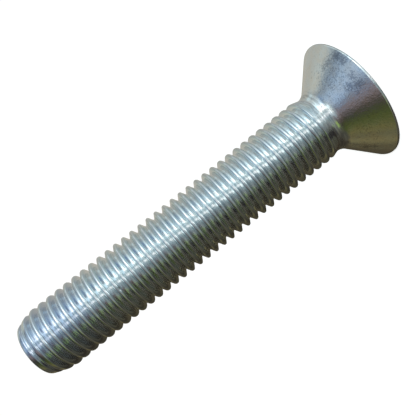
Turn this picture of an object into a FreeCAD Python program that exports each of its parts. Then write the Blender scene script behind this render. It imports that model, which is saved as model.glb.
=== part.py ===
import FreeCAD, Part
import math
import os
import Sketcher

# Countersunk bolt, one piece of steel: cold-headed, then the thread is rolled on up to the neck.
# Frame: origin at the centre of the flat head face, thread pointing up along +Z, millimetres.

os.makedirs("parts", exist_ok=True)
doc = FreeCAD.newDocument("countersunk_bolt")
sheet = doc.addObject("Spreadsheet::Sheet", "sizes")

# Driving dimensions: name, value, what it is.
SIZES = [
    ("overall_length", 68.5, "head face to tip"),
    ("head_diameter", 23.2, "across the rim of the head"),
    ("rim_land", 0.32, "straight band between the head face and the cone"),
    ("cone_angle", 91.4, "full angle of the countersunk cone, in degrees"),
    ("neck_fillet", 3.5, "radius between the cone and the neck"),
    ("neck_diameter", 10.94, "plain neck, as thick as the blank was before rolling"),
    ("neck_length", 0.25, "plain neck between that fillet and the swell of the thread"),
    ("swell_length", 1.1, "length over which the neck swells to the crests"),
    ("thread_diameter", 11.93, "over the crests"),
    ("thread_pitch", 1.75, "rise of one right-hand turn"),
    ("groove_lead", 0.83, "from the end of the swell to the first full groove"),
    ("fade_turns", 1.5, "turns over which the groove fades out on the neck"),
    ("tip_diameter", 9.57, "flat end of the tip"),
    ("tip_taper", 3.1, "length of the tapered lead-in"),
    ("socket_width", 8.0, "hexagon socket, across its flats"),
    ("socket_depth", 4.6, "depth of the hexagon"),
    ("mouth_margin", 0.18, "bevelled mouth of the socket, past the hexagon's corners"),
    ("mouth_angle", 120.0, "full angle of that bevel, in degrees"),
    ("point_ledge", 0.2, "flat at the bottom of the hexagon, around the punch's cone"),
    ("point_angle", 120.0, "full angle of that cone, in degrees"),
]
for row, (name, value, note) in enumerate(SIZES, start=1):
    sheet.set(f"A{row}", name)
    sheet.set(f"B{row}", str(value))
    sheet.set(f"C{row}", note)
    sheet.setAlias(f"B{row}", name)
doc.recompute()

# The 60-degree metric thread form, as shares of its pitch.
GROOVE_DEPTH = 0.61343
ROOT_FLAT = 1 / 6
FLANK_TILT = 30
# The cutting section reaches this much past the crests, so that it leaves no skin on them.
OVERSHOOT = 0.05

body = doc.addObject("PartDesign::Body", "countersunk_bolt")
body.Label = "countersunk_bolt"


def size(name):
    """A driving dimension as it stands in the sheet."""
    return float(sheet.get(name))


def new_sketch(name, role):
    """A sketch on one of the body's own origin planes."""
    sketch = body.newObject("Sketcher::SketchObject", name)
    plane = next(f for f in body.Origin.OriginFeatures if f.Role == role)
    sketch.AttachmentSupport = [(plane, "")]
    sketch.MapMode = "FlatFace"
    sketch.Visibility = False
    return sketch


def constrain(sketch, kind, *geometry):
    return sketch.addConstraint(Sketcher.Constraint(kind, *geometry))


def chain(sketch, points, closed=False):
    """Straight edges from point to point, joined end to start."""
    ends = points[1:] + points[:1] if closed else points[1:]
    edges = []
    for start, end in zip(points, ends):
        a = FreeCAD.Vector(*start, 0)
        b = FreeCAD.Vector(*end, 0)
        edges.append(sketch.addGeometry(Part.LineSegment(a, b)))
    for first, second in zip(edges, edges[1:]):
        constrain(sketch, "Coincident", first, 2, second, 1)
    if closed:
        constrain(sketch, "Coincident", edges[-1], 2, edges[0], 1)
    return edges


def circle(x, y, radius):
    return Part.Circle(FreeCAD.Vector(x, y, 0), FreeCAD.Vector(0, 0, 1), radius)


def bind(sketch, name, formula, kind, *geometry):
    """A named dimension of the sketch, tied to the sheet."""
    index = constrain(sketch, kind, *geometry)
    sketch.renameConstraint(index, name)
    sketch.setExpression(f"Constraints.{name}", formula)


def across(sketch, name, formula, edge, end):
    """Distance of an edge's end from the bolt's axis."""
    now = sketch.getPoint(edge, end).x
    bind(sketch, name, formula, "DistanceX", -1, 1, edge, end, now)


def up(sketch, name, formula, edge, end):
    """Height of an edge's end above the head face."""
    now = sketch.getPoint(edge, end).y
    bind(sketch, name, formula, "DistanceY", -1, 1, edge, end, now)


def rise(sketch, name, formula, edge):
    """Height that one edge climbs."""
    now = sketch.getPoint(edge, 2).y - sketch.getPoint(edge, 1).y
    bind(sketch, name, formula, "DistanceY", edge, 1, edge, 2, now)


def settle(sketch):
    """Solve the sketch, which has to be fully constrained."""
    doc.recompute()
    if sketch.solve() != 0 or not sketch.FullyConstrained:
        raise RuntimeError(f"{sketch.Name} is not fully constrained")


# The headed blank: half its outline from the head face to the tip, as thick as the crests
# where the thread comes. The places below are first guesses, which the bound sizes then hold.
length = size("overall_length")
head_radius = size("head_diameter") / 2
neck_radius = size("neck_diameter") / 2
neck_fillet = size("neck_fillet")
crest_radius = size("thread_diameter") / 2
cone_tilt = math.radians(size("cone_angle") / 2)
cone_rise = (head_radius - neck_radius) / math.tan(cone_tilt)
fillet_top = size("rim_land") + cone_rise + neck_fillet * math.tan(cone_tilt / 2)
fillet_centre = (neck_radius + neck_fillet, fillet_top)
cone_top = (
    fillet_centre[0] - neck_fillet * math.cos(cone_tilt),
    fillet_centre[1] - neck_fillet * math.sin(cone_tilt),
)
neck_top = fillet_top + size("neck_length")
thread_start = neck_top + size("swell_length")

outline = new_sketch("bolt_outline", "XZ_Plane")
head_points = [(0, length), (0, 0), (head_radius, 0), (head_radius, size("rim_land")), cone_top]
axis, face, rim, cone = chain(outline, head_points)
shank_points = [
    (neck_radius, fillet_top),
    (neck_radius, neck_top),
    (crest_radius, thread_start),
    (crest_radius, length - size("tip_taper")),
    (size("tip_diameter") / 2, length),
    (0, length),
]
neck, swell, crests, taper, tip = chain(outline, shank_points)
fillet_circle = circle(*fillet_centre, neck_fillet)
fillet_edge = Part.ArcOfCircle(fillet_circle, math.pi, math.pi + cone_tilt)
fillet_arc = outline.addGeometry(fillet_edge)

for edge in (axis, rim, neck, crests):
    constrain(outline, "Vertical", edge)
for edge in (face, tip):
    constrain(outline, "Horizontal", edge)
constrain(outline, "Coincident", face, 1, -1, 1)
constrain(outline, "Coincident", tip, 2, axis, 1)
constrain(outline, "Tangent", cone, 2, fillet_arc, 2)
constrain(outline, "Tangent", fillet_arc, 1, neck, 1)
bind(outline, "neck_fillet", "sizes.neck_fillet", "Radius", fillet_arc, neck_fillet)
cone_slope = math.pi / 2 + cone_tilt
bind(outline, "cone_slope", "90 + sizes.cone_angle / 2", "Angle", cone, cone_slope)
across(outline, "head_radius", "sizes.head_diameter / 2", rim, 2)
across(outline, "neck_radius", "sizes.neck_diameter / 2", neck, 2)
across(outline, "crest_radius", "sizes.thread_diameter / 2", crests, 1)
across(outline, "tip_radius", "sizes.tip_diameter / 2", tip, 1)
up(outline, "rim_land", "sizes.rim_land", rim, 2)
up(outline, "overall_length", "sizes.overall_length", tip, 1)
rise(outline, "neck_length", "sizes.neck_length", neck)
rise(outline, "swell_length", "sizes.swell_length", swell)
rise(outline, "tip_taper", "sizes.tip_taper", taper)

# A reference dimension: the outline works out where the full crests start.
start_mark = constrain(outline, "DistanceY", -1, 1, crests, 1, thread_start)
outline.renameConstraint(start_mark, "thread_start")
outline.setDriving(start_mark, False)
settle(outline)

blank = body.newObject("PartDesign::Revolution", "headed_blank")
blank.Profile = outline
blank.ReferenceAxis = (outline, ["V_Axis"])
blank.Angle = 360
doc.recompute()

# The hexagon socket, punched into the head face with two flats facing X.
hexagon = new_sketch("socket_hexagon", "XY_Plane")
corner_radius = size("socket_width") / 2 / math.cos(math.pi / 6)
corner_turns = [math.pi * (i / 3 - 1 / 6) for i in range(6)]
corner_points = [(corner_radius * math.cos(t), corner_radius * math.sin(t)) for t in corner_turns]
sides = chain(hexagon, corner_points, closed=True)
corners = hexagon.addGeometry(circle(0, 0, corner_radius), True)
constrain(hexagon, "Coincident", corners, 3, -1, 1)
for side in sides:
    constrain(hexagon, "PointOnObject", side, 1, corners)
for side in sides[1:]:
    constrain(hexagon, "Equal", sides[0], side)
constrain(hexagon, "Vertical", sides[0])
across(hexagon, "flat", "sizes.socket_width / 2", sides[0], 1)
settle(hexagon)

socket = body.newObject("PartDesign::Pocket", "socket")
socket.Profile = hexagon
socket.Reversed = True
socket.setExpression("Length", "sizes.socket_depth")
doc.recompute()


def cone_cut(name, radius, foot, angle, radius_formula, foot_formula, angle_formula):
    """A cone turned out of the bolt about its axis, its wide end towards the head face."""
    sketch = new_sketch(f"{name}_section", "XZ_Plane")
    tilt = math.radians(angle / 2)
    corner_list = [(0, foot), (0, foot + radius / math.tan(tilt)), (radius, foot)]
    on_axis, slope, base = chain(sketch, corner_list, closed=True)
    constrain(sketch, "Vertical", on_axis)
    constrain(sketch, "Horizontal", base)
    constrain(sketch, "PointOnObject", on_axis, 1, -2)
    up(sketch, "foot", foot_formula, base, 1)
    across(sketch, "radius", radius_formula, base, 1)
    bind(sketch, "slope", f"{angle_formula} / 2 - 90", "Angle", slope, tilt - math.pi / 2)
    settle(sketch)
    cut = body.newObject("PartDesign::Groove", name)
    cut.Profile = sketch
    cut.ReferenceAxis = (sketch, ["V_Axis"])
    cut.Angle = 360
    doc.recompute()
    return cut


# The punch's shallow cone below the hexagon.
point = cone_cut(
    "socket_point",
    size("socket_width") / 2 - size("point_ledge"),
    size("socket_depth"),
    size("point_angle"),
    "sizes.socket_width / 2 - sizes.point_ledge",
    "sizes.socket_depth",
    "sizes.point_angle",
)
# The bevel that breaks the socket's corners at the head face.
bevel = cone_cut(
    "socket_mouth",
    corner_radius + size("mouth_margin"),
    0,
    size("mouth_angle"),
    "sizes.socket_width / 2 / cos(30 deg) + sizes.mouth_margin",
    "0",
    "sizes.mouth_angle",
)

# Section of the thread groove on the +X side: a V with a flat root.
pitch = size("thread_pitch")
root_radius = crest_radius - GROOVE_DEPTH * pitch
mouth_radius = crest_radius + OVERSHOOT * pitch
groove_height = thread_start + size("groove_lead")
half_root = ROOT_FLAT / 2 * pitch
flank = math.radians(FLANK_TILT)
half_mouth = half_root + (mouth_radius - root_radius) * math.tan(flank)
section_points = [
    (root_radius, groove_height - half_root),
    (mouth_radius, groove_height - half_mouth),
    (mouth_radius, groove_height + half_mouth),
    (root_radius, groove_height + half_root),
]
section = new_sketch("groove_section", "XZ_Plane")
lower_flank, mouth, upper_flank, root = chain(section, section_points, closed=True)
for edge in (mouth, root):
    constrain(section, "Vertical", edge)
place = "(bolt_outline.Constraints.thread_start / 1 mm + sizes.groove_lead)"
crest = "sizes.thread_diameter / 2"
bind(section, "lower_flank", f"-{FLANK_TILT}", "Angle", lower_flank, -flank)
bind(section, "upper_flank", f"180 + {FLANK_TILT}", "Angle", upper_flank, math.pi + flank)
across(section, "root_radius", f"{crest} - {GROOVE_DEPTH} * sizes.thread_pitch", root, 1)
across(section, "mouth_radius", f"{crest} + {OVERSHOOT} * sizes.thread_pitch", mouth, 1)
up(section, "root_top", f"{place} + {ROOT_FLAT / 2} * sizes.thread_pitch", root, 1)
up(section, "root_bottom", f"{place} - {ROOT_FLAT / 2} * sizes.thread_pitch", root, 2)
settle(section)


def helix(name, mode, **formulas):
    """The groove's section cut along a right-hand helix about the bolt's axis."""
    cut = body.newObject("PartDesign::SubtractiveHelix", name)
    cut.Profile = section
    cut.ReferenceAxis = (section, ["V_Axis"])
    cut.Mode = mode
    for sizing, formula in formulas.items():
        cut.setExpression(sizing, formula)
    return cut


# The thread, from its first full groove to past the tip.
thread = helix(
    "thread",
    "pitch-height-angle",
    Pitch="sizes.thread_pitch",
    Height=f"sizes.overall_length - {place} + sizes.thread_pitch",
)
doc.recompute()

# Its run-out: the groove winds on towards the head and climbs out of the metal on the neck.
run_out = helix(
    "thread_run_out",
    "height-turns-growth",
    Turns="sizes.fade_turns",
    Height="sizes.fade_turns * sizes.thread_pitch",
    Growth=f"{GROOVE_DEPTH} * sizes.thread_pitch / sizes.fade_turns",
)
run_out.Reversed = True
doc.recompute()

# Every feature has to have worked, and every cut has to have taken metal away.
for item in doc.Objects:
    if "Invalid" in item.State or "Error" in item.State:
        raise RuntimeError(f"{item.Name} failed: {item.State}")
metal = blank.Shape.Volume
for cut in (socket, point, bevel, thread, run_out):
    if cut.Shape.Volume >= metal:
        raise RuntimeError(f"{cut.Name} cut nothing")
    metal = cut.Shape.Volume
bolt = body.Shape
if bolt.isNull() or not bolt.isValid() or len(bolt.Solids) != 1:
    raise RuntimeError("the bolt is not one valid solid")
bolt.exportStep(f"parts/{body.Label}.step")
print(f"{body.Label}: {metal:.1f} mm3, {len(bolt.Faces)} faces")
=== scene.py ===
import math

import bmesh
import bpy
from mathutils import Matrix, Vector


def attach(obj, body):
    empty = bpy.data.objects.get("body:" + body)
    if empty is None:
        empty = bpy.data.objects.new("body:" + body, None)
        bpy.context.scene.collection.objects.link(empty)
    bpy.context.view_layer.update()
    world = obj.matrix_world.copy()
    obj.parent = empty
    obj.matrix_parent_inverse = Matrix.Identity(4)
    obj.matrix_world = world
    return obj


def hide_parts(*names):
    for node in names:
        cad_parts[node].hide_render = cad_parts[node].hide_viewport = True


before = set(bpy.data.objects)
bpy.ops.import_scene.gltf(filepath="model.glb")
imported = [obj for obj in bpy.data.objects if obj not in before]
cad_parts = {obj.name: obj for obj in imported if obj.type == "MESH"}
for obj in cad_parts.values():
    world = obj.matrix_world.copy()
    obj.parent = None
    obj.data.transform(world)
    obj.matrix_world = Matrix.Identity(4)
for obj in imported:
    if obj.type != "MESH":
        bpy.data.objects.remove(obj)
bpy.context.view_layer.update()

# The rolled thread
# The real shank is drawn steel wire. Two flat dies roll a coarse right-hand thread on it, which leaves
# rounded crests, and the groove runs out of the metal just above the plain neck. The dies also press
# a taper of about three turns at the tip, where the crests get lower.

MM = 0.001
PITCH = 1.75 * MM
FIRST_FULL_GROOVE = 9.938 * MM
FLANK_SLOPE = math.tan(math.radians(60))
SHANK_START = 7.0 * MM
SHANK_END = 68.5 * MM
TAPER_POWER = 1.25
NECK_SHARE_OF_ROUNDING = 0.04
BROKEN_EDGE_HEIGHT = 0.22 * MM
BROKEN_EDGE_DEPTH = 0.14 * MM

# The neck below the thread curves out to the head's cone.
HEAD_RADIUS = 11.592 * MM
RIM_HEIGHT = 0.32 * MM
HALF_CONE = math.radians(45.7)
FILLET = 3.5 * MM
NECK_RADIUS = 5.49 * MM
CONE_END = NECK_RADIUS + FILLET * (1 - math.cos(HALF_CONE))
CONE_END_HEIGHT = RIM_HEIGHT + (HEAD_RADIUS - CONE_END) / math.tan(HALF_CONE)
FILLET_TOP = CONE_END_HEIGHT + FILLET * math.sin(HALF_CONE)

thread_sizes = {
    "Pitch": PITCH,
    "Crest radius": 6.0 * MM,
    "Root radius": 4.97 * MM,
    "Root flat": 0.08 * MM,
    "Crest rounding": 0.40 * MM,
    "Root rounding": 0.20 * MM,
    "First full groove": FIRST_FULL_GROOVE,
    "Run-out start": 0.3,
    "Run-out end": 1.05,
    "Neck radius": NECK_RADIUS,
    "Fillet": FILLET,
    "Fillet top": FILLET_TOP,
    "Swell start": 6.95 * MM,
    "Swell length": 2.35 * MM,
    "Tip radius": 4.84 * MM,
    "Tip taper": 3.3 * MM,
    "Tip slant": 0.28 * MM,
    "Shank start": SHANK_START,
    "Shank end": SHANK_END,
    "Unevenness": 0.014 * MM,
}

# Small dents where crests have knocked against other bolts: x, y and z, then how wide and how deep.
dents = (
    (-0.56, -5.90, 29.87, 0.42, 0.13),
    (-1.41, -5.76, 31.37, 0.36, 0.11),
    (-0.56, -5.90, 50.33, 0.48, 0.17),
    (-1.39, -5.77, 55.80, 0.34, 0.10),
    (4.40, -3.95, 38.60, 0.40, 0.10),
    (3.10, 5.05, 22.30, 0.45, 0.14),
    (-4.60, 3.72, 44.10, 0.40, 0.12),
)

# The mesh has a row of vertices for each sixteenth of a turn. Rows past either end of the shank lie on
# its edge and are merged there.
COLUMNS = 144
COLUMN_ANGLE = 2 * math.pi / COLUMNS
ROWS_A_TURN = 16
TURNS_BELOW = 3
ROW_CROWDING = 0.45
ROW_NUDGE = 0.001 / ROWS_A_TURN
MERGE_GAP = 0.0004 * MM


class Value:
    """The output of a node, so that numbers on a surface are worked out with Python's own operators."""

    def __init__(self, socket):
        self.socket = socket
        self.tree = socket.id_data

    def __add__(self, other):
        return maths("ADD", self, other)

    def __radd__(self, other):
        return maths("ADD", other, self)

    def __sub__(self, other):
        return maths("SUBTRACT", self, other)

    def __rsub__(self, other):
        return maths("SUBTRACT", other, self)

    def __mul__(self, other):
        return maths("MULTIPLY", self, other)

    def __rmul__(self, other):
        return maths("MULTIPLY", other, self)

    def __truediv__(self, other):
        return maths("DIVIDE", self, other)

    def __rtruediv__(self, other):
        return maths("DIVIDE", other, self)

    def __neg__(self):
        return maths("MULTIPLY", self, -1.0)

    def __abs__(self):
        return maths("ABSOLUTE", self)


def add_node(tree, kind, settings=None, inputs=None, output=0):
    """Adds a node: its settings first, then the values or links of its sockets. A colour is red, green
    and blue. It gives back the output that is asked for, or the node itself where that is None."""
    made = tree.nodes.new(kind)
    for name, setting in (settings or {}).items():
        if name == "stops":
            stops = made.color_ramp.elements
            for _ in range(len(setting) - len(stops)):
                stops.new(0.5)
            for stop, (position, colour) in zip(stops, setting):
                stop.position = position
                stop.color = (*colour, 1.0)
        else:
            setattr(made, name, setting)
    for name, value in (inputs or {}).items():
        socket = made.inputs[name]
        if isinstance(value, Value):
            tree.links.new(value.socket, socket)
        elif socket.type == "RGBA":
            socket.default_value = (*value, 1.0)
        else:
            socket.default_value = value
    return made if output is None else Value(made.outputs[output])


def maths(operation, *values):
    """A Math node on numbers and at least one value of a node."""
    tree = next(v.tree for v in values if isinstance(v, Value))
    return add_node(tree, "ShaderNodeMath", {"operation": operation}, dict(enumerate(values)))


def between(value, low, high):
    return maths("MINIMUM", maths("MAXIMUM", value, low), high)


def point(x, y, z):
    """Three numbers as one place, of which the first is a value of a node."""
    return add_node(x.tree, "ShaderNodeCombineXYZ", inputs={"X": x, "Y": y, "Z": z})


def gap(first, second):
    """How far one place is from another."""
    settings = {"operation": "DISTANCE"}
    return add_node(first.tree, "ShaderNodeVectorMath", settings, {0: first, 1: second}, output="Value")


def noise(vector, scale, detail, roughness):
    settings = {"noise_dimensions": "3D"}
    inputs = {"Vector": vector, "Scale": scale, "Detail": detail, "Roughness": roughness}
    return add_node(vector.tree, "ShaderNodeTexNoise", settings, inputs)


tree = bpy.data.node_groups.new("rolled thread", "GeometryNodeTree")
for name, amount in thread_sizes.items():
    named = tree.interface.new_socket(name, in_out="INPUT", socket_type="NodeSocketFloat")
    named.default_value = amount
tree.interface.new_socket("Finish", in_out="INPUT", socket_type="NodeSocketMaterial")
tree.interface.new_socket("Geometry", in_out="OUTPUT", socket_type="NodeSocketGeometry")
given = add_node(tree, "NodeGroupInput", output=None)
size = {name: Value(given.outputs[name]) for name in thread_sizes}

turns_of_rows = math.ceil((SHANK_END - FIRST_FULL_GROOVE) / PITCH) + TURNS_BELOW
rows = turns_of_rows * ROWS_A_TURN + 1
sheet = add_node(tree, "GeometryNodeMeshGrid", inputs={"Vertices X": COLUMNS + 1, "Vertices Y": rows})
index = add_node(tree, "GeometryNodeInputIndex")
column = maths("FLOOR", (index + 0.5) / rows)
row = index - column * rows

# Rows lie closer together on the crest and at the root than on the flanks.
turns_up = row / ROWS_A_TURN
part_of_turn = maths("FRACT", turns_up + ROW_NUDGE) - ROW_NUDGE
crowding = maths("SINE", part_of_turn * (4 * math.pi)) * (ROW_CROWDING / (4 * math.pi))
share_round = column / COLUMNS
height = size["First full groove"] + size["Pitch"] * (turns_up - crowding + share_round - TURNS_BELOW)
height = between(height, size["Shank start"], size["Shank end"])

# The groove has flanks at 30 degrees to the plane across the bolt, and gets shallower on the neck. Ten
# whole turns keep its phase above zero.
phase = maths("FRACT", (height - size["First full groove"]) / size["Pitch"] - share_round + 10.0)
from_groove = (0.5 - abs(phase - 0.5)) * size["Pitch"]
flank = maths("SMOOTH_MAX", from_groove - size["Root flat"] / 2, 0.0, size["Root rounding"])
turns_under = (size["First full groove"] - height) / size["Pitch"]
gone = (turns_under - size["Run-out start"]) / (size["Run-out end"] - size["Run-out start"])
gone = maths("MAXIMUM", gone, 0.0)
shallower = gone * gone * (size["Crest radius"] - size["Root radius"])
groove = size["Root radius"] + shallower + flank * FLANK_SLOPE

# The outside swells gently from the neck to the crests, and tapers at the tip, a little more on one side.
angle = share_round * (2 * math.pi)
across = maths("COSINE", angle)
along = maths("SINE", angle)
to_fillet = maths("MAXIMUM", size["Fillet top"] - height, 0.0)
fillet_side = size["Fillet"] - maths("SQRT", size["Fillet"] * size["Fillet"] - to_fillet * to_fillet)
swell = between((height - size["Swell start"]) / size["Swell length"], 0.0, 1.0)
swell = swell * swell * (3.0 - 2.0 * swell)
to_end = size["Shank end"] - height
taper = maths("MINIMUM", (to_end + across * size["Tip slant"]) / size["Tip taper"], 1.0)
taper = 1.0 - maths("POWER", 1.0 - taper, TAPER_POWER)
tip_side = size["Tip radius"] + (size["Crest radius"] - size["Tip radius"]) * taper
outside = size["Neck radius"] + fillet_side + (size["Crest radius"] - size["Neck radius"]) * swell
outside = maths("MINIMUM", outside, tip_side)
rounding_share = NECK_SHARE_OF_ROUNDING + (1 - NECK_SHARE_OF_ROUNDING) * swell
radius = maths("SMOOTH_MIN", groove, outside, size["Crest rounding"] * rounding_share)

# The end edge is slightly broken.
edge = maths("MAXIMUM", 1.0 - to_end / BROKEN_EDGE_HEIGHT, 0.0)
radius = radius - edge * edge * BROKEN_EDGE_DEPTH

# Rolled metal isn't even: crests wander by about a hundredth of a millimetre. The shank's lower edge
# stays round, because the head's fillet is joined to it.
smooth_place = point(across * radius, along * radius, height)
uneven = noise(smooth_place, 620.0, 2.0, 0.55)
above_start = maths("MINIMUM", (height - size["Shank start"]) / MM, 1.0)
radius = radius + (uneven - 0.5) * 2.0 * size["Unevenness"] * above_start
for x, y, z, wide, deep in dents:
    to_dent = gap(smooth_place, (x * MM, y * MM, z * MM))
    inside = maths("MAXIMUM", 1.0 - to_dent / (wide * MM), 0.0)
    radius = radius - inside * inside * (deep * MM)

place = point(across * radius, along * radius, height)
finish = Value(given.outputs["Finish"])
rolled = add_node(tree, "GeometryNodeSetPosition", inputs={"Geometry": sheet, "Position": place})
rolled = add_node(tree, "GeometryNodeMergeByDistance", inputs={"Geometry": rolled, "Distance": MERGE_GAP})
rolled = add_node(tree, "GeometryNodeRealizeInstances", inputs={"Geometry": rolled})
rolled = add_node(tree, "GeometryNodeSetMaterial", inputs={"Geometry": rolled, "Material": finish})
add_node(tree, "NodeGroupOutput", inputs={"Geometry": rolled}, output=None)

# The zinc plate
# Bright blue-white zinc is plated on the whole bolt, a few thousandths of a millimetre thick. It is
# smooth and streaked along the rolled flanks, worn bright on the crests, and finely pitted on the head,
# where it follows the skin of the forging.

BLUISH = (0.745, 0.80, 0.825)
WARM = (0.765, 0.76, 0.725)
ROLLED = (0.645, 0.735, 0.765)
SPECKED = (0.30, 0.33, 0.37)
RINGED = (0.36, 0.38, 0.40)
STREAKED = (0.48, 0.57, 0.60)
PAINTED_ROOT_HIGHLIGHT = (0.82, 0.84, 0.845)
PAINTED_FLANK_SHADE = (0.46, 0.51, 0.60)
BLUE_TIP = (0.52, 0.61, 0.82)
WORN_CREST = (0.77, 0.775, 0.79)
PAINTED_CREST_SIDE_SHADE = (0.52, 0.55, 0.56)
DARK_RIM = (0.36, 0.34, 0.33)
SCUFFED = (0.20, 0.23, 0.28)

# Pitted and scuffed places on the head: x, y and z of the middle, how wide and how heavy.
scuffs = (
    (4.60, -7.60, 2.80, 5.60, 0.20),
    (6.75, -8.75, 0.95, 1.70, 0.42),
    (5.55, -9.55, 0.85, 1.30, 0.40),
    (6.90, -6.45, 2.60, 1.30, 0.30),
    (1.75, -9.10, 2.45, 1.60, 0.36),
    (2.60, -9.90, 1.40, 1.30, 0.36),
    (-7.90, -2.10, 3.60, 1.50, 0.34),
    (-8.60, -2.60, 2.80, 1.20, 0.30),
    (-5.20, -6.40, 3.30, 4.50, 0.12),
    (1.10, -10.00, 1.60, 2.00, 0.32),
    (7.00, -7.20, 1.80, 1.50, 0.34),
)


def empty_tree(owner):
    """The node tree of a material or a world, with nothing in it."""
    owner.use_nodes = True
    owner.node_tree.nodes.clear()
    return owner.node_tree


def coordinates(vector):
    parts = add_node(vector.tree, "ShaderNodeSeparateXYZ", inputs={"Vector": vector}, output=None)
    return [Value(socket) for socket in parts.outputs]


def smooth_step(value, low, high):
    """0 up to the low limit, 1 from the high one, and a smooth rise between them."""
    settings = {"interpolation_type": "SMOOTHSTEP"}
    limits = {"Value": value, "From Min": low, "From Max": high}
    return add_node(value.tree, "ShaderNodeMapRange", settings, limits)


def hump(value, rises_from, rises_to, falls_from, falls_to):
    return smooth_step(value, rises_from, rises_to) * (1.0 - smooth_step(value, falls_from, falls_to))


def blend(share, first, second):
    """Lays a share of the second colour over the first. Either is a tuple or a link."""
    inputs = {0: share, 6: first, 7: second}
    return add_node(share.tree, "ShaderNodeMix", {"data_type": "RGBA"}, inputs, output=2)


plate = bpy.data.materials.new("zinc_plate")
shader = empty_tree(plate)
where = add_node(shader, "ShaderNodeTexCoord", output="Object")
in_mm = add_node(shader, "ShaderNodeVectorMath", {"operation": "SCALE"}, {0: where, "Scale": 1 / MM})
x, y, z = coordinates(in_mm)
on_thread = smooth_step(z, 8.0, 8.9)
on_head = 1.0 - smooth_step(z, 5.4, 6.4)
on_neck = 1.0 - on_thread - on_head
on_rim = 1.0 - smooth_step(z, 0.13, 0.20)

# The place in the thread's turn is 0 at the groove's root, a half on the crest and 1 at the next root.
# Twenty whole turns keep it above zero.
pitches_up = (z - FIRST_FULL_GROOVE / MM) / (PITCH / MM)
turn_part = maths("FRACT", pitches_up - maths("ARCTAN2", y, x) / (2 * math.pi) + 20.0)
crest = 1.0 - abs(turn_part * 2.0 - 1.0)

# Streaks follow the turns. The rings on the neck are what the forging die leaves.
streaks = noise(point((pitches_up - turn_part) * 9.0, turn_part * 20.0, 0.0), 1.0, 3.0, 0.6)
patches = noise(in_mm, 0.55, 3.0, 0.55)
mottle = noise(in_mm, 1.9, 4.0, 0.62)
grain = noise(in_mm, 4.6, 3.0, 0.65)
rings = noise(point(x * 0.35, y * 0.35, z * 3.6 + patches * 1.5), 1.0, 2.0, 0.6)

# The roots' colour is lightened, a painted highlight, and they are a little smoother; the crests are worn.
# One side of each crest is darkened with painted shade, and so is one flank near the tip.
specks = smooth_step(grain + (mottle - 0.5) * 0.8, 0.58, 0.72) * on_neck
worn = smooth_step(crest + (mottle - 0.5) * 0.25, 0.76, 0.95) * on_thread
root_painted_highlight = (1.0 - smooth_step(crest, 0.26, 0.70)) * on_thread
crest_side_painted_shade = hump(turn_part, 0.46, 0.53, 0.61, 0.72) * on_thread
tip_flank_painted_shade = hump(turn_part, 0.0, 0.05, 0.30, 0.42) * smooth_step(z, 52.0, 60.0)
scuffed = 0.0
for at_x, at_y, at_z, wide, heavy in scuffs:
    to_middle = gap(in_mm, (at_x, at_y, at_z))
    scuffed = maths("MAXIMUM", scuffed, (1.0 - to_middle / wide) * heavy)
marks = smooth_step(scuffed + grain + (mottle - 0.5) * 0.7, 0.60, 0.80)

colour = blend(smooth_step(patches, 0.35, 0.68), BLUISH, WARM)
for share, laid_over in (
    (on_thread, ROLLED),
    (specks * 0.42, SPECKED),
    (smooth_step(rings, 0.40, 0.62) * on_neck * 0.6, RINGED),
    (smooth_step(streaks, 0.46, 0.66) * on_thread * 0.55, STREAKED),
    # Painted highlight at the groove roots
    (root_painted_highlight * 0.75, PAINTED_ROOT_HIGHLIGHT),
    # Painted shade on one flank near the tip
    (tip_flank_painted_shade * 0.7, PAINTED_FLANK_SHADE),
    (smooth_step(z, 53.0, 61.0) * 0.22, BLUE_TIP),
    (worn * 0.8, WORN_CREST),
    # Painted shade on one side of each crest
    (crest_side_painted_shade * 0.5, PAINTED_CREST_SIDE_SHADE),
    (on_rim * 0.6, DARK_RIM),
    (marks * (0.38 + scuffed), SCUFFED),
):
    colour = blend(share, colour, laid_over)

rough = 0.13 - on_thread * 0.03 + on_neck * 0.03 + worn * 0.10 + on_rim * 0.15
rough = rough + (mottle - 0.5) * 0.08 + (streaks - 0.5) * 0.08 * on_thread
rough = rough + specks * 0.12 - root_painted_highlight * 0.02
relief = (streaks - 0.5) * 0.5 * on_thread + (grain - 0.5) * (0.35 + on_head * 0.9)
relief = relief + (mottle - 0.5) * (0.5 + on_head * 1.4)
bumps = {"Strength": 0.6, "Distance": 0.025 * MM, "Height": relief}
bumpy = add_node(shader, "ShaderNodeBump", inputs=bumps)
surface = {"Base Color": colour, "Metallic": 1.0, "Roughness": rough, "Normal": bumpy}
metal = add_node(shader, "ShaderNodeBsdfPrincipled", inputs=surface)
add_node(shader, "ShaderNodeOutputMaterial", inputs={"Surface": metal}, output=None)

# The bolt
# The head is forged cold on the end of the wire: a 91.4 degree cone with a thin rim, a fillet into the
# neck, and a hexagon socket that a punch presses into its flat face. The tip's end is sheared flat.
# Thread, head and tip are one piece of steel, so they are welded into one closed mesh here.

# Sizes in millimetres. The rim's upper corner is rounded over a shoulder, and its lower one by an arc.
RIM_ROUNDING = 0.07
SHOULDER_UP = 0.12
SHOULDER_DOWN = 0.14
SOCKET_HALF = 4.0
SOCKET_DEPTH = 4.6
CORNER = 0.12
CORNER_MIDDLE = 0.035
LEDGE = 0.2
MOUTH_RADIUS = SOCKET_HALF / math.cos(math.radians(30)) + 0.18
CONE_SLOPE = math.tan(math.radians(60))
POINT_DEPTH = SOCKET_DEPTH + (SOCKET_HALF - LEDGE) / CONE_SLOPE
FACE_RINGS = (10.6, 9.2, 7.8, 6.4, 5.4)
TIP_RINGS = (4.3, 3.0, 1.5)

FILLET_STEPS = 14
CONE_STEPS = 14
SHOULDER_STEPS = 7
RIM_STEPS = 4

# Edges are shaded sharp in the socket only, where they turn by more than this angle.
SHARP = math.radians(28)
SHARP_WITHIN = 5.0


def put_in_scene(name, data):
    made = bpy.data.objects.new(name, data)
    bpy.context.collection.objects.link(made)
    return made


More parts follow.
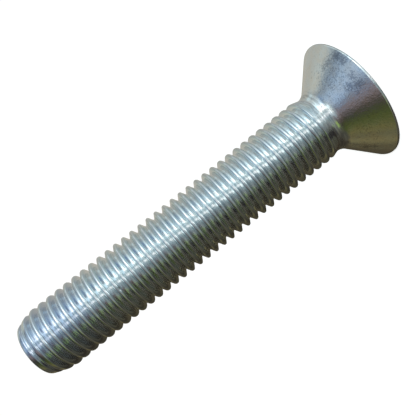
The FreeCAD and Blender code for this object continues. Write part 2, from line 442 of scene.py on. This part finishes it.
def ring(mesh, radius_at, height_at):
    """A ring of vertices: the radius and height are numbers, or they vary with the angle."""
    made = []
    for i in range(COLUMNS):
        turned = i * COLUMN_ANGLE
        r = radius_at(turned) if callable(radius_at) else radius_at
        h = height_at(turned) if callable(height_at) else height_at
        made.append(mesh.verts.new((r * math.cos(turned) * MM, r * math.sin(turned) * MM, h * MM)))
    return made


def skin(mesh, last, rings):
    """Bands of faces from one ring through others, which are given as radius and height. It gives back
    the last ring."""
    for radius_at, height_at in rings:
        made = ring(mesh, radius_at, height_at)
        for i in range(COLUMNS):
            j = (i + 1) % COLUMNS
            mesh.faces.new((made[i], made[j], last[j], last[i]))
        last = made
    return last


def close(mesh, last, height):
    """A fan of faces from the last ring to one vertex on the axis."""
    middle = mesh.verts.new((0, 0, height * MM))
    for i in range(COLUMNS):
        mesh.faces.new((last[i], middle, last[(i + 1) % COLUMNS]))


def open_end(mesh, above):
    """The thread's open end above or below its middle, as a ring in the same order as the others."""
    edge_verts = {v for e in mesh.edges if e.is_boundary for v in e.verts}
    chosen = [v for v in edge_verts if (v.co.z > SHANK_END / 2) == above]
    return sorted(chosen, key=lambda v: round(math.atan2(v.co.y, v.co.x) / COLUMN_ANGLE) % COLUMNS)


def flat_at(turned):
    """The radius of the socket's wall, with flats towards +X and -X."""
    sixth = math.radians(60)
    return SOCKET_HALF / math.cos((turned + sixth / 2) % sixth - sixth / 2)


def mouth_depth(turned):
    """Where the bevel of the socket's mouth meets the wall."""
    return (MOUTH_RADIUS - flat_at(turned)) / CONE_SLOPE


# The shank comes out of the node tree as a plain mesh that is open at both ends.
blank = put_in_scene("blank", bpy.data.meshes.new("blank"))
rolling = blank.modifiers.new("rolled thread", "NODES")
rolling.node_group = tree
for item in tree.interface.items_tree:
    if item.in_out == "INPUT":
        rolling[item.identifier] = thread_sizes.get(item.name, plate)
evaluated = blank.evaluated_get(bpy.context.evaluated_depsgraph_get())
bolt_mesh = bpy.data.meshes.new_from_object(evaluated)
bpy.data.objects.remove(blank)
bolt_mesh.name = "bolt"
shape = bmesh.new()
shape.from_mesh(bolt_mesh)
neck_ring = open_end(shape, above=False)
tip_ring = open_end(shape, above=True)

# From the neck down over the fillet, the cone, the rim and the flat face
profile = []
swung_first = math.asin((FILLET_TOP - SHANK_START) / FILLET)
for i in range(1, FILLET_STEPS + 1):
    swung = swung_first + (HALF_CONE - swung_first) * i / FILLET_STEPS
    out = NECK_RADIUS + FILLET * (1 - math.cos(swung))
    profile.append((out / MM, (FILLET_TOP - FILLET * math.sin(swung)) / MM))
rim = HEAD_RADIUS / MM
shoulder = RIM_HEIGHT / MM
cone_top = profile[-1]
cone_low = (rim - SHOULDER_UP * math.sin(HALF_CONE), shoulder + SHOULDER_UP * math.cos(HALF_CONE))
rim_top = (rim, shoulder - SHOULDER_DOWN)
for i in range(1, CONE_STEPS + 1):
    share = i / CONE_STEPS
    profile.append(tuple(a + (b - a) * share for a, b in zip(cone_top, cone_low)))
for i in range(1, SHOULDER_STEPS):
    share = i / SHOULDER_STEPS
    weights = ((1 - share) ** 2, 2 * share * (1 - share), share ** 2)
    corners = (cone_low, (rim, shoulder), rim_top)
    profile.append(tuple(sum(w * c[k] for w, c in zip(weights, corners)) for k in (0, 1)))
profile.append(rim_top)
for i in range(1, RIM_STEPS + 1):
    swung = math.pi / 2 * i / RIM_STEPS
    profile.append((rim - RIM_ROUNDING * (1 - math.cos(swung)), RIM_ROUNDING * (1 - math.sin(swung))))
profile += [(r, 0.0) for r in FACE_RINGS]
face_edge = skin(shape, neck_ring, profile)

# Into the socket: a bevelled mouth, six flats, a small ledge and a shallow cone
socket_rings = (
    (MOUTH_RADIUS + 0.04, 0.0),
    (MOUTH_RADIUS - 0.02, 0.015),
    (lambda a: flat_at(a) + 0.03, lambda a: mouth_depth(a) - 0.02),
    (flat_at, lambda a: mouth_depth(a) + 0.04),
    (flat_at, 1.6),
    (flat_at, 3.0),
    (flat_at, SOCKET_DEPTH - CORNER),
    (lambda a: flat_at(a) - CORNER_MIDDLE, SOCKET_DEPTH - CORNER_MIDDLE),
    (lambda a: flat_at(a) - CORNER, SOCKET_DEPTH),
    (SOCKET_HALF - LEDGE, SOCKET_DEPTH),
    (2.6, POINT_DEPTH - 2.6 / CONE_SLOPE),
    (1.2, POINT_DEPTH - 1.2 / CONE_SLOPE),
    (0.35, POINT_DEPTH - 0.35 / CONE_SLOPE),
)
close(shape, skin(shape, face_edge, socket_rings), POINT_DEPTH - 0.12)

# The flat end of the tip
tip = SHANK_END / MM
close(shape, skin(shape, tip_ring, [(r, tip) for r in TIP_RINGS]), tip)

bmesh.ops.recalc_face_normals(shape, faces=shape.faces)
bmesh.ops.triangulate(shape, faces=[f for f in shape.faces if len(f.verts) > 4])
for face in shape.faces:
    face.smooth = True
    face.material_index = 0
for e in shape.edges:
    middle = (e.verts[0].co + e.verts[1].co) / 2
    in_socket = middle.z < SHANK_START and middle.xy.length < SHARP_WITHIN * MM
    if in_socket and len(e.link_faces) == 2 and e.calc_face_angle() > SHARP:
        e.smooth = False
shape.to_mesh(bolt_mesh)
shape.free()
bolt_mesh.materials.clear()
bolt_mesh.materials.append(plate)

bolt = put_in_scene("bolt", bolt_mesh)
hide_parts("countersunk_bolt")
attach(bolt, "root")

# The studio floor
# A plain white floor that the bolt's flat head face stands on. It only shows behind the bolt, which
# reflects the soft light of the room instead, and it is clear from below.

FLOOR_RADIUS = 0.5


def stage_mesh(name, shape, material):
    """What bmesh holds, made a mesh with one material and put in the scene."""
    mesh = bpy.data.meshes.new(name)
    shape.to_mesh(mesh)
    shape.free()
    mesh.materials.append(material)
    made = put_in_scene(name, mesh)
    made.visible_glossy = False
    made.visible_shadow = False
    return made


paint = bpy.data.materials.new("white_floor")
shader = empty_tree(paint)
white = add_node(
    shader,
    "ShaderNodeBsdfPrincipled",
    inputs={
        "Base Color": (0.8, 0.8, 0.8),
        "Roughness": 0.9,
        "Specular IOR Level": 0.0,
        "Emission Color": (1.0, 1.0, 1.0),
        "Emission Strength": 0.8,
    },
)
clear = add_node(shader, "ShaderNodeBsdfTransparent")
from_below = add_node(shader, "ShaderNodeNewGeometry", output="Backfacing")
seen = add_node(shader, "ShaderNodeMixShader", inputs={0: from_below, 1: white, 2: clear})
add_node(shader, "ShaderNodeOutputMaterial", inputs={"Surface": seen}, output=None)
shape = bmesh.new()
bmesh.ops.create_circle(shape, cap_ends=True, radius=FLOOR_RADIUS, segments=96)
stage_mesh("studio_floor", shape, paint)

# The studio backdrop
# A plain white backdrop all round the bolt and the floor, lit evenly. It lights nothing and only shows
# behind the bolt.

BACKDROP_RADIUS = 0.6

paint = bpy.data.materials.new("white_backdrop")
shader = empty_tree(paint)
glow = add_node(shader, "ShaderNodeEmission", inputs={"Color": (1.0, 1.0, 1.0), "Strength": 1.05})
add_node(shader, "ShaderNodeOutputMaterial", inputs={"Surface": glow}, output=None)
shape = bmesh.new()
bmesh.ops.create_uvsphere(shape, u_segments=48, v_segments=24, radius=BACKDROP_RADIUS)
wall = stage_mesh("studio_backdrop", shape, paint)
wall.visible_diffuse = False

# The light
# A soft room: bluish daylight from one side in front, a pale warm light from behind, and a darker side
# with some green in it that gives the metal its shade. Soft windows give the rows of highlights along
# the thread, and a bright line low in front gives the white line along each crest.

LIGHT_STRENGTH = 1.5

# The room's light at four heights, lowest first. Azimuth is in degrees from the camera's side towards
# +X, then comes the light from there.
under_stops = (
    (-180, (0.20, 0.19, 0.15)),
    (-165, (0.04, 0.03, 0.02)),
    (-120, (0.028, 0.021, 0.013)),
    (-60, (0.03, 0.024, 0.016)),
    (-25, (0.15, 0.14, 0.125)),
    (0, (0.19, 0.18, 0.18)),
    (60, (0.20, 0.19, 0.185)),
    (120, (0.24, 0.25, 0.23)),
    (172, (0.20, 0.21, 0.19)),
)
low_stops = (
    (-180, (0.22, 0.20, 0.16)),
    (-168, (0.07, 0.055, 0.035)),
    (-120, (0.060, 0.055, 0.038)),
    (-90, (0.072, 0.070, 0.050)),
    (-60, (0.065, 0.068, 0.052)),
    (-40, (0.110, 0.117, 0.106)),
    (-20, (0.15, 0.17, 0.175)),
    (0, (0.33, 0.41, 0.43)),
    (12, (0.55, 0.64, 0.66)),
    (26, (0.50, 0.60, 0.63)),
    (42, (0.43, 0.53, 0.57)),
    (60, (0.42, 0.51, 0.55)),
    (80, (0.31, 0.39, 0.42)),
    (110, (0.35, 0.40, 0.41)),
    (130, (0.30, 0.32, 0.30)),
    (172, (0.22, 0.235, 0.22)),
)
level_stops = (
    (-180, (0.16, 0.155, 0.13)),
    (-172, (0.05, 0.043, 0.026)),
    (-150, (0.050, 0.042, 0.026)),
    (-125, (0.034, 0.030, 0.021)),
    (-100, (0.044, 0.038, 0.027)),
    (-68, (0.082, 0.078, 0.060)),
    (-44, (0.150, 0.155, 0.130)),
    (-25, (0.195, 0.222, 0.216)),
    (-12, (0.163, 0.205, 0.217)),
    (-3, (0.195, 0.258, 0.282)),
    (4, (0.285, 0.35, 0.37)),
    (22, (0.48, 0.59, 0.62)),
    (56, (0.75, 0.88, 0.92)),
    (72, (0.54, 0.64, 0.67)),
    (84, (0.42, 0.48, 0.50)),
    (96, (0.37, 0.395, 0.39)),
    (110, (0.33, 0.35, 0.34)),
    (130, (0.333, 0.338, 0.312)),
    (172, (0.338, 0.322, 0.281)),
)
high_stops = (
    (-180, (0.30, 0.30, 0.26)),
    (-165, (0.12, 0.10, 0.052)),
    (-141, (0.115, 0.093, 0.045)),
    (-124, (0.140, 0.118, 0.054)),
    (-105, (0.130, 0.115, 0.046)),
    (-88, (0.068, 0.071, 0.028)),
    (-75, (0.050, 0.064, 0.016)),
    (-62, (0.044, 0.052, 0.018)),
    (-49, (0.034, 0.031, 0.025)),
    (-30, (0.090, 0.071, 0.067)),
    (-12, (0.190, 0.152, 0.160)),
    (0, (0.143, 0.133, 0.163)),
    (12, (0.115, 0.138, 0.182)),
    (24, (0.195, 0.25, 0.33)),
    (37, (0.30, 0.38, 0.50)),
    (50, (0.395, 0.49, 0.63)),
    (65, (0.37, 0.47, 0.58)),
    (78, (0.315, 0.39, 0.475)),
    (90, (0.20, 0.252, 0.31)),
    (100, (0.185, 0.22, 0.245)),
    (106, (0.24, 0.27, 0.285)),
    (109, (0.38, 0.41, 0.40)),
    (122, (0.41, 0.43, 0.395)),
    (150, (0.38, 0.38, 0.32)),
    (170, (0.38, 0.375, 0.315)),
)

# Lights and dark places in the room, each over the ones before it: azimuth and elevation of the middle,
# half the width and height, softness of the edges, and the light that comes from there.
lights = (
    # Pale light from above behind the bolt
    (158, 62, 24, 16, 10, (0.22, 0.27, 0.28)),
    (-158, 62, 24, 16, 10, (0.13, 0.15, 0.15)),
    # Dark and brownish places on the shaded side
    (-110, 78, 60, 16, 12, (0.035, 0.035, 0.030)),
    (-130, 46, 20, 12, 8, (0.055, 0.050, 0.036)),
    (-92, 20, 20, 11, 8, (0.060, 0.058, 0.045)),
    (-142, 8, 12, 3, 4, (0.100, 0.085, 0.045)),
    (-124, 22, 11, 5, 5, (0.143, 0.122, 0.058)),
    (-54, -10, 18, 10, 8, (0.045, 0.042, 0.040)),
    (-66, -42, 15, 9, 6, (0.022, 0.019, 0.020)),
    # Green light on the shaded side
    (-34, -4, 2.6, 13, 5, (0.16, 0.22, 0.12)),
    (-39, 23.5, 12, 5, 3, (0.25, 0.35, 0.10)),
    # Pale light beside the bolt, and bluish light above the windows
    (104, 5, 8, 13, 5, (0.46, 0.54, 0.55)),
    (20, 40, 26, 13, 8, (0.42, 0.50, 0.53)),
    (66, 36, 18, 5.5, 6, (0.15, 0.22, 0.33)),
    (22, 41, 40, 5.5, 5, (0.25, 0.30, 0.33)),
    (33, 40, 10, 5, 3, (0.75, 0.95, 1.05)),
    # Windows in front, and a darker bar between them
    (42, 3, 11, 24, 6, (1.36, 1.36, 1.33)),
    (52, -15, 10, 6, 6, (0.70, 1.00, 1.20)),
    (34, -5, 1.1, 40, 2.5, (1.9, 2.0, 1.9)),
    (22, 2, 3.5, 26, 4, (0.38, 0.47, 0.50)),
    (12, 2, 3.6, 42, 3, (0.98, 0.98, 0.97)),
    # Bright spots below, and a thin one above
    (11, -50, 8, 13, 5, (1.15, 1.2, 1.2)),
    (48, -56, 15, 5, 4, (1.0, 1.1, 1.12)),
    (21, 34, 20, 2.5, 2, (0.85, 0.95, 1.0)),
    # A level line low down, bright in front and dark on the shaded side
    (60, -28, 90, 3, 3, (0.28, 0.29, 0.295)),
    (-100, -27, 66, 4.5, 4, (0.030, 0.024, 0.016)),
)

world = bpy.data.worlds.new("soft studio")
bpy.context.scene.world = world
shader = empty_tree(world)
toward = add_node(shader, "ShaderNodeTexCoord", output="Generated")
x, y, z = coordinates(toward)
azimuth = maths("ARCTAN2", x, -y) * (180 / math.pi)
elevation = maths("ARCSINE", z) * (180 / math.pi)


def light_round(stops):
    """The light all round at one height. The ramp ends with the colour that it starts with."""
    placed = [((degrees + 180) / 360, colour) for degrees, colour in stops]
    settings = {"stops": placed + [(1.0, stops[0][1])]}
    return add_node(shader, "ShaderNodeValToRGB", settings, {"Fac": azimuth / 360 + 0.5})


sky = light_round(under_stops)
for from_height, to_height, stops in (
    (-72.0, -60.0, low_stops),
    (-34.0, -20.0, level_stops),
    (12.0, 40.0, high_stops),
):
    sky = blend(smooth_step(elevation, from_height, to_height), sky, light_round(stops))

# The light from above isn't even where the head's bluish side sees it.
in_blue = (1.0 - smooth_step(abs(azimuth - 55.0), 40.0, 54.0)) * smooth_step(elevation, 38.0, 50.0)
cloudy = smooth_step(noise(toward, 5.0, 4.0, 0.65), 0.40, 0.62) * in_blue * 0.45
sky = blend(cloudy, sky, (0.09, 0.12, 0.18))

for az, el, half_width, half_height, soft, colour in lights:
    share_wide = 1.0 - smooth_step(abs(azimuth - az), half_width - soft / 2, half_width + soft / 2)
    share_high = 1.0 - smooth_step(abs(elevation - el), half_height - soft / 2, half_height + soft / 2)
    sky = blend(share_wide * share_high, sky, colour)
lit = add_node(shader, "ShaderNodeBackground", inputs={"Color": sky, "Strength": LIGHT_STRENGTH})
add_node(shader, "ShaderNodeOutputWorld", inputs={"Surface": lit}, output=None)

# The camera
# It looks at the bolt's side from close by, level with the middle of the thread, and is rolled so that
# the head lies to the upper right. Its lens, place and turn are fitted to the bolt's outline in the photo.

eye = bpy.data.cameras.new("camera")
eye.sensor_width = 36.0
eye.lens = 40.637
eye.clip_start = 0.001
eye.clip_end = 10.0
camera = put_in_scene("camera", eye)
stands_at = Matrix.Translation((0, -0.080826, 0.035388))
right = Vector((-0.625202, -0.034280, -0.779709))
up = Vector((0.780400, -0.040134, -0.623990))
back = Vector((-0.009902, -0.998606, 0.051877))
camera.matrix_world = stands_at @ Matrix((right, up, back)).transposed().to_4x4()
bpy.context.scene.camera = camera
bpy.context.scene.view_settings.view_transform = "Standard"
